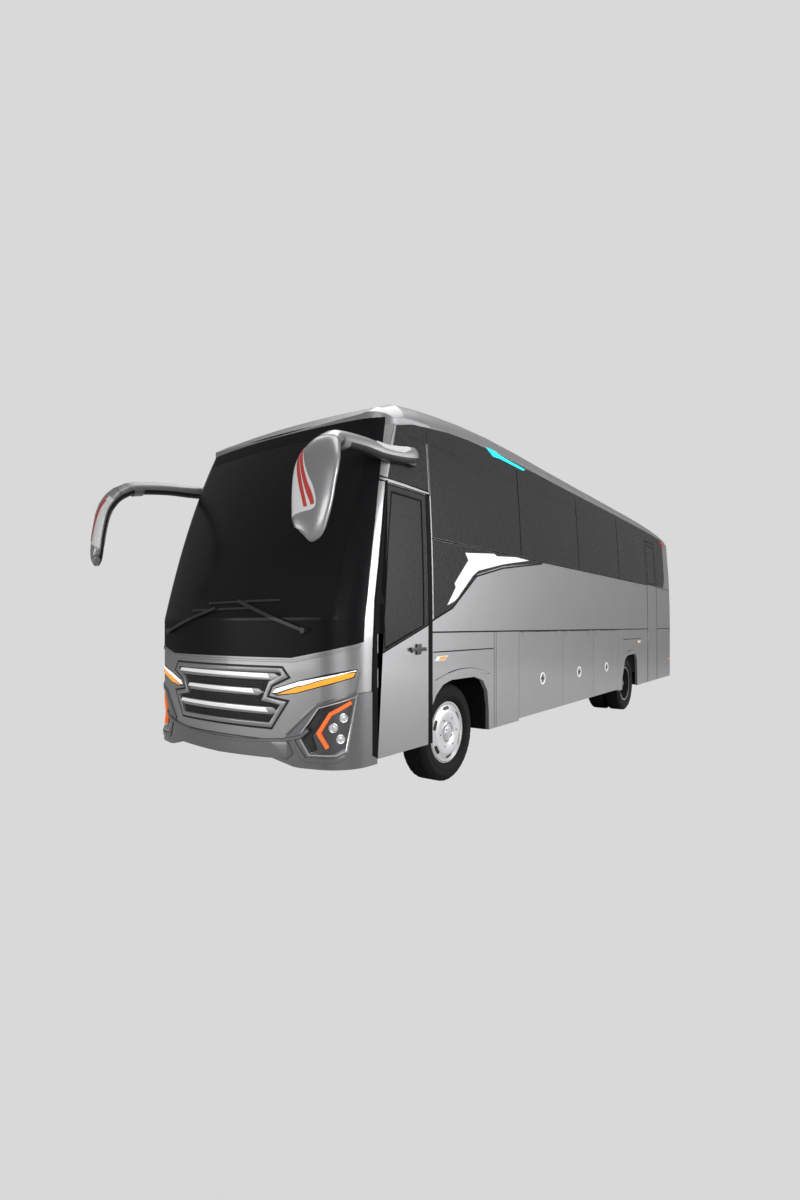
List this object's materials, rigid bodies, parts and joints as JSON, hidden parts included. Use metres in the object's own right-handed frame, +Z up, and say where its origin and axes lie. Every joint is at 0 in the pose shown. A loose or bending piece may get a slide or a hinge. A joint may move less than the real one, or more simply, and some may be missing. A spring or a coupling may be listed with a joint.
{
  "type": "passenger coach bus",
  "caption": "Single-deck coach with hinged doors, luggage flaps, steered front wheels, twin rear wheels, horn mirrors and dark wrap-round glass.",
  "frame": {"origin": "on the ground under the middle of the whole coach with its mirrors", "axes": "+X to the coach's left side, +Y to its rear, +Z up; the nose faces -Y"},
  "size_m": [3.1694, 11.7599, 3.8519],
  "materials": {
    "frame_steel": "black chassis paint",
    "floor": "dark sheet",
    "body_paint": "metallic silver grey",
    "bumper_paint": "metallic dark grey",
    "dark_glass": "tinted",
    "grille": "dark with chromed bars",
    "lamp_white": "clear lens",
    "lamp_cluster": "dark housing with lenses",
    "lamp_red": "red lens",
    "engine": "painted",
    "tank": "brushed",
    "roof_unit": "satin",
    "mirror_shell": "metallic grey",
    "black_plastic": "matt",
    "seat_fabric": "woven",
    "rim": "silver",
    "tyre": "rubber"
  },
  "bodies": {
    "coach": {"chassis_frame": "frame_steel", "floor_bearers": "frame_steel", "floor_deck": "floor", "wheel_boxes": "floor", "luggage_bays": "floor", "side_wall_left": "body_paint", "side_wall_right": "body_paint", "roof_shell": "body_paint", "front_mask": "body_paint", "front_bumper": "bumper_paint", "windscreen": "dark_glass", "grille": "grille", "head_lamps": "lamp_white", "fog_lamps": "lamp_cluster", "side_glass": "dark_glass", "rear_panel": "body_paint", "rear_window": "dark_glass", "tail_lamps": "lamp_red", "engine_block": "engine", "fuel_tank": "tank", "roof_unit": "roof_unit", "mirrors": "mirror_shell", "wipers": "black_plastic", "dashboard": "black_plastic", "seats": "seat_fabric", "front_axle": "frame_steel", "rear_axle": "frame_steel"},
    "knuckle_left": {"knuckle_left": "frame_steel"},
    "front_wheel_left": {"front_rim_left": "rim", "front_tyre_left": "tyre"},
    "rear_wheels_left": {"rear_rims_left": "rim", "rear_tyres_left": "tyre"},
    "knuckle_right": {"knuckle_right": "frame_steel"},
    "front_wheel_right": {"front_rim_right": "rim", "front_tyre_right": "tyre"},
    "rear_wheels_right": {"rear_rims_right": "rim", "rear_tyres_right": "tyre"},
    "front_door": {"front_door": "body_paint", "front_door_glass": "dark_glass"},
    "driver_door": {"driver_door": "body_paint", "driver_door_glass": "dark_glass"},
    "rear_door": {"rear_door": "body_paint", "rear_door_glass": "dark_glass"},
    "engine_lid": {"engine_lid": "body_paint"},
    "luggage_flap_left_front": {"luggage_flap_left_front": "body_paint"},
    "luggage_flap_left_middle": {"luggage_flap_left_middle": "body_paint"},
    "luggage_flap_left_rear": {"luggage_flap_left_rear": "body_paint"},
    "luggage_flap_right_front": {"luggage_flap_right_front": "body_paint"},
    "luggage_flap_right_middle": {"luggage_flap_right_middle": "body_paint"},
    "luggage_flap_right_rear": {"luggage_flap_right_rear": "body_paint"}
  },
  "joints": [
    {"name": "steer_left", "type": "hinge", "parent": "coach", "child": "knuckle_left", "pos_m": [0.88, -3.7, 0.47], "axis": [0, 0, 1], "range_deg": [-38, 38]},
    {"name": "front_wheel_left_spin", "type": "hinge", "parent": "knuckle_left", "child": "front_wheel_left", "pos_m": [1.065, -3.7, 0.47], "axis": [1, 0, 0], "continuous": true},
    {"name": "rear_wheels_left_spin", "type": "hinge", "parent": "coach", "child": "rear_wheels_left", "pos_m": [0.908, 2.406, 0.47], "axis": [1, 0, 0], "continuous": true},
    {"name": "steer_right", "type": "hinge", "parent": "coach", "child": "knuckle_right", "pos_m": [-0.88, -3.7, 0.47], "axis": [0, 0, 1], "range_deg": [-38, 38]},
    {"name": "front_wheel_right_spin", "type": "hinge", "parent": "knuckle_right", "child": "front_wheel_right", "pos_m": [-1.065, -3.7, 0.47], "axis": [1, 0, 0], "continuous": true},
    {"name": "rear_wheels_right_spin", "type": "hinge", "parent": "coach", "child": "rear_wheels_right", "pos_m": [-0.908, 2.406, 0.47], "axis": [1, 0, 0], "continuous": true},
    {"name": "front_door_hinge", "type": "hinge", "parent": "coach", "child": "front_door", "pos_m": [1.256, -4.905, 1.5], "axis": [0, 0, -1], "range_deg": [0, 85]},
    {"name": "driver_door_hinge", "type": "hinge", "parent": "coach", "child": "driver_door", "pos_m": [-1.256, -4.905, 1.5], "axis": [0, 0, 1], "range_deg": [0, 85]},
    {"name": "rear_door_hinge", "type": "hinge", "parent": "coach", "child": "rear_door", "pos_m": [1.256, 3.722, 1.7], "axis": [0, 0, -1], "range_deg": [0, 85]},
    {"name": "luggage_flap_left_front_hinge", "type": "hinge", "parent": "coach", "child": "luggage_flap_left_front", "pos_m": [1.256, -1.523, 1.433], "axis": [0, -1, 0], "range_deg": [0, 80]},
    {"name": "luggage_flap_left_middle_hinge", "type": "hinge", "parent": "coach", "child": "luggage_flap_left_middle", "pos_m": [1.256, -0.1905, 1.433], "axis": [0, -1, 0], "range_deg": [0, 80]},
    {"name": "luggage_flap_left_rear_hinge", "type": "hinge", "parent": "coach", "child": "luggage_flap_left_rear", "pos_m": [1.256, 1.089, 1.433], "axis": [0, -1, 0], "range_deg": [0, 80]},
    {"name": "luggage_flap_right_front_hinge", "type": "hinge", "parent": "coach", "child": "luggage_flap_right_front", "pos_m": [-1.256, -1.523, 1.433], "axis": [0, 1, 0], "range_deg": [0, 80]},
    {"name": "luggage_flap_right_middle_hinge", "type": "hinge", "parent": "coach", "child": "luggage_flap_right_middle", "pos_m": [-1.256, -0.1905, 1.433], "axis": [0, 1, 0], "range_deg": [0, 80]},
    {"name": "luggage_flap_right_rear_hinge", "type": "hinge", "parent": "coach", "child": "luggage_flap_right_rear", "pos_m": [-1.256, 1.089, 1.433], "axis": [0, 1, 0], "range_deg": [0, 80]},
    {"name": "engine_lid_hinge", "type": "hinge", "parent": "coach", "child": "engine_lid", "pos_m": [0, 5.892, 1.562], "axis": [1, 0, 0], "range_deg": [0, 70]}
  ],
  "couplings": [
    {"joint": "steer_right", "follows": "steer_left", "ratio": 1}
  ]
}
